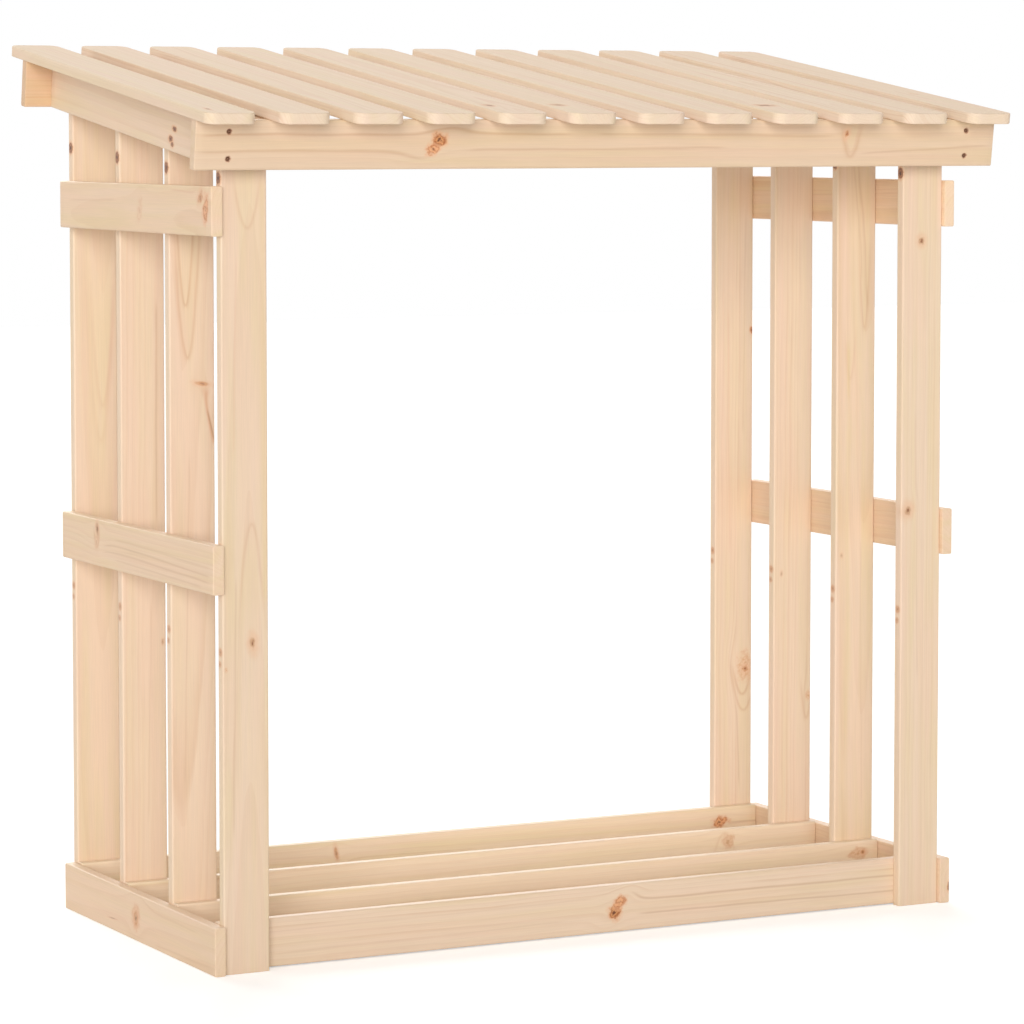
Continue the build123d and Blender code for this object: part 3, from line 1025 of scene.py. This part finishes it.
# The purlins' screws and their sunk holes, in millimetres. The head's top falls off a little at its rim.
screwLook = dict(
    fromMiddle=15.6,  # across the purlin
    headRadius=2.7,
    innerRing=0.12,  # of the head's radius, as the next three
    rimStart=0.85,
    rimTaper=0.97,
    coneWaist=0.62,  # at the cone's foot
    headDepth=0.95,  # of the head's top under the face
    rimFall=0.12,
    rimThickness=0.45,
    coneLength=1.5,
    neckLength=0.8,
    shankRadius=1.2,
    shankLength=4.5,
    sinkRadius=3.5,
    sinkDepth=1.7,
    crossArm=1.6,
    crossWidth=0.5,
    crossDepth=0.9,
    crossEnd=1.15,  # where the recess ends and how soon it deepens, as shares of its arms
    crossSlope=0.35,
    rings=14,
    spokes=40,
    turnStep=0.7,  # radians from one screw's recess to the next
)

# The holes lie on the middle of each rafter's end.
purlinSinks = []
rafterX = abs(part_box("left_rafter")[0].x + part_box("left_rafter")[1].x) / 2 / millimetre
for side in (-1, 1):
    for row in (-1, 1):
        purlinSinks.append(dict(g=side * rafterX, w=row * screwLook["fromMiddle"],
                                radius=screwLook["sinkRadius"], depth=screwLook["sinkDepth"]))


# Turns a node's name such as left_top_rail into leftTopRail.
def camelName(node):
    first, *rest = node.split("_")
    return first + "".join(word.capitalize() for word in rest)


# A countersunk screw: the height over (radius, turn) is the head's flat top less a cross recess, then the
# cone below the rim and the shank, closed by a middle point at each end. Outward is the way the head faces.
def screwMesh(name, spot, outward, turn, look):
    lookDown = np.cross(outward, toRight)
    sideways = np.cross(lookDown, outward)
    spokes = np.linspace(0, 2 * np.pi, look["spokes"], endpoint=False)
    headRadius, shankRadius = look["headRadius"], look["shankRadius"]
    radius = np.linspace(look["innerRing"], 1, look["rings"]) * headRadius
    ringR, ringA = np.meshgrid(radius, spokes, indexing="ij")
    x, y = ringR * np.cos(ringA), ringR * np.sin(ringA)
    arm = np.minimum(np.maximum(np.abs(x) / look["crossWidth"], np.abs(y) / look["crossArm"]),
                     np.maximum(np.abs(y) / look["crossWidth"], np.abs(x) / look["crossArm"]))
    top = -look["crossDepth"] * np.clip((look["crossEnd"] - arm) / look["crossSlope"], 0, 1)
    top = top - look["rimFall"] * np.clip(ringR / headRadius - look["rimStart"], 0, 1)
    below = np.array([[headRadius * look["rimTaper"], -look["rimThickness"]],
                      [headRadius * look["coneWaist"], -look["coneLength"]],
                      [shankRadius, -look["neckLength"] - look["coneLength"]],
                      [shankRadius, -look["shankLength"]]])
    belowR = np.repeat(below[:, :1], look["spokes"], 1)
    belowZ = np.repeat(below[:, 1:], look["spokes"], 1)
    allR = np.concatenate([ringR, belowR])
    height = np.concatenate([top, belowZ])
    allA = np.broadcast_to(spokes + turn, allR.shape)
    flat = allR[..., None] * (np.cos(allA)[..., None] * sideways + np.sin(allA)[..., None] * lookDown)
    rings = spot + (flat + height[..., None] * outward) * millimetre
    firstPole = spot - look["crossDepth"] * outward * millimetre
    lastPole = spot + below[-1, 1] * outward * millimetre
    return ringMesh(name, rings, firstPole, lastPole)


zincLook = dict(
    pale=(0.24, 0.12, 0.07, 1),
    dark=(0.11, 0.055, 0.03, 1),
    patches=900.0,  # to a metre
    metallic=0.55,
    roughness=(0.42, 0.62),  # in pale and in dark patches
)


# Zinc that has dulled brown, in patches of noise that are darker and rougher.
def dullZinc(look):
    material = bpy.data.materials.new("dullZinc")
    material.use_nodes = True
    sheet = nodeSheet(material)
    shader = sheet.nodes["Principled BSDF"]
    where = sheet.nodes.new("ShaderNodeTexCoord").outputs["Object"]
    patches = sheet.noise(where, look["patches"], 3.0)
    colour = sheet.mix(sheet.spread(patches, 0.35, 0.65), look["pale"], look["dark"])
    sheet.links.new(colour, shader.inputs["Base Color"])
    shader.inputs["Metallic"].default_value = look["metallic"]
    sheet.links.new(sheet.spread(patches, 0.3, 0.7, *look["roughness"]), shader.inputs["Roughness"])
    return material


# One screw in each hole of a purlin. Face is -1 or 1, the side of the board that the heads look out of.
def addScrews(node, face, material, look):
    place = boardPlace(node, "purlin")
    outward = place.axes[2] * face
    for index, sink in enumerate(purlinSinks, start=1):
        level = place.half[2] - look["headDepth"] * millimetre
        spot = place.middle + place.axes[0] * sink["g"] * millimetre + place.axes[1] * sink["w"] * millimetre
        turn = index * look["turnStep"]
        mesh = screwMesh(f"{camelName(node)}Screw{index}", spot + outward * level, outward, turn, look)
        mesh.materials.append(material)
        screw = bpy.data.objects.new(mesh.name, mesh)
        scene.collection.objects.link(screw)
        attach(screw, "root")


# A carved board in place of a CAD node, cut from its own piece of wood.
def addBoard(node, family, seed):
    place = boardPlace(node, family)
    own = boardWood.get(node, {})
    rng = np.random.default_rng(seed * 31 + 5)
    pithW, pithT, leanT, straw = [rng.uniform(*bounds) for bounds in cutBounds.values()]
    cut = dict(cutDefaults, pith=(pithW, pithT), lean=(0.0, leanT), straw=straw)
    cut.update(own.get("cut", {}))
    features = SimpleNamespace(arches=own.get("arches", ()), streaks=own.get("streaks", ()))
    knots = list(own.get("knots", ()))
    if family == "upright":
        knots += uprightEdgeKnotsAndHoleShade
    shape = slatShape if family == "slat" else boardShape
    sinks = purlinSinks if family == "purlin" else ()
    outerFace = 1 if node == "rear_purlin" else -1
    knots += [sinkMark(sink, outerFace) for sink in sinks]
    sloped = family == "upright"
    mesh = boardMesh(camelName(node), place, shape, seed, knots, sinks, outerFace, slopedTop=sloped)
    features.knots = knots
    look = dict(slatLook if family == "slat" else woodLook)
    # The cut's tone scales the wood's colours: painted light or shade where a board sets it.
    for part in ("early", "late", "rosy", "straw"):
        look[part] = tuple(level * share for level, share in zip(look[part], (*cut["tone"], 1.0)))
    wood = softwood(camelName(node) + "Wood", look, cut, features, place.half / millimetre, seed)
    mesh.materials.append(wood)
    board = bpy.data.objects.new(camelName(node), mesh)
    scene.collection.objects.link(board)
    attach(board, "root")
    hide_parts(node)


# The part of a node's name that tells its family
families = dict(upright="upright", rail="rail", rafter="rafter", base_board="baseBoard", purlin="purlin",
                roof_slat="slat")
for seed, node in enumerate(sorted(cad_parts), start=1):
    family = next(kind for word, kind in families.items() if word in node)
    addBoard(node, family, seed)
print("boards ready")

zinc = dullZinc(zincLook)
addScrews("front_purlin", -1, zinc, screwLook)
addScrews("rear_purlin", 1, zinc, screwLook)
print("screws ready")
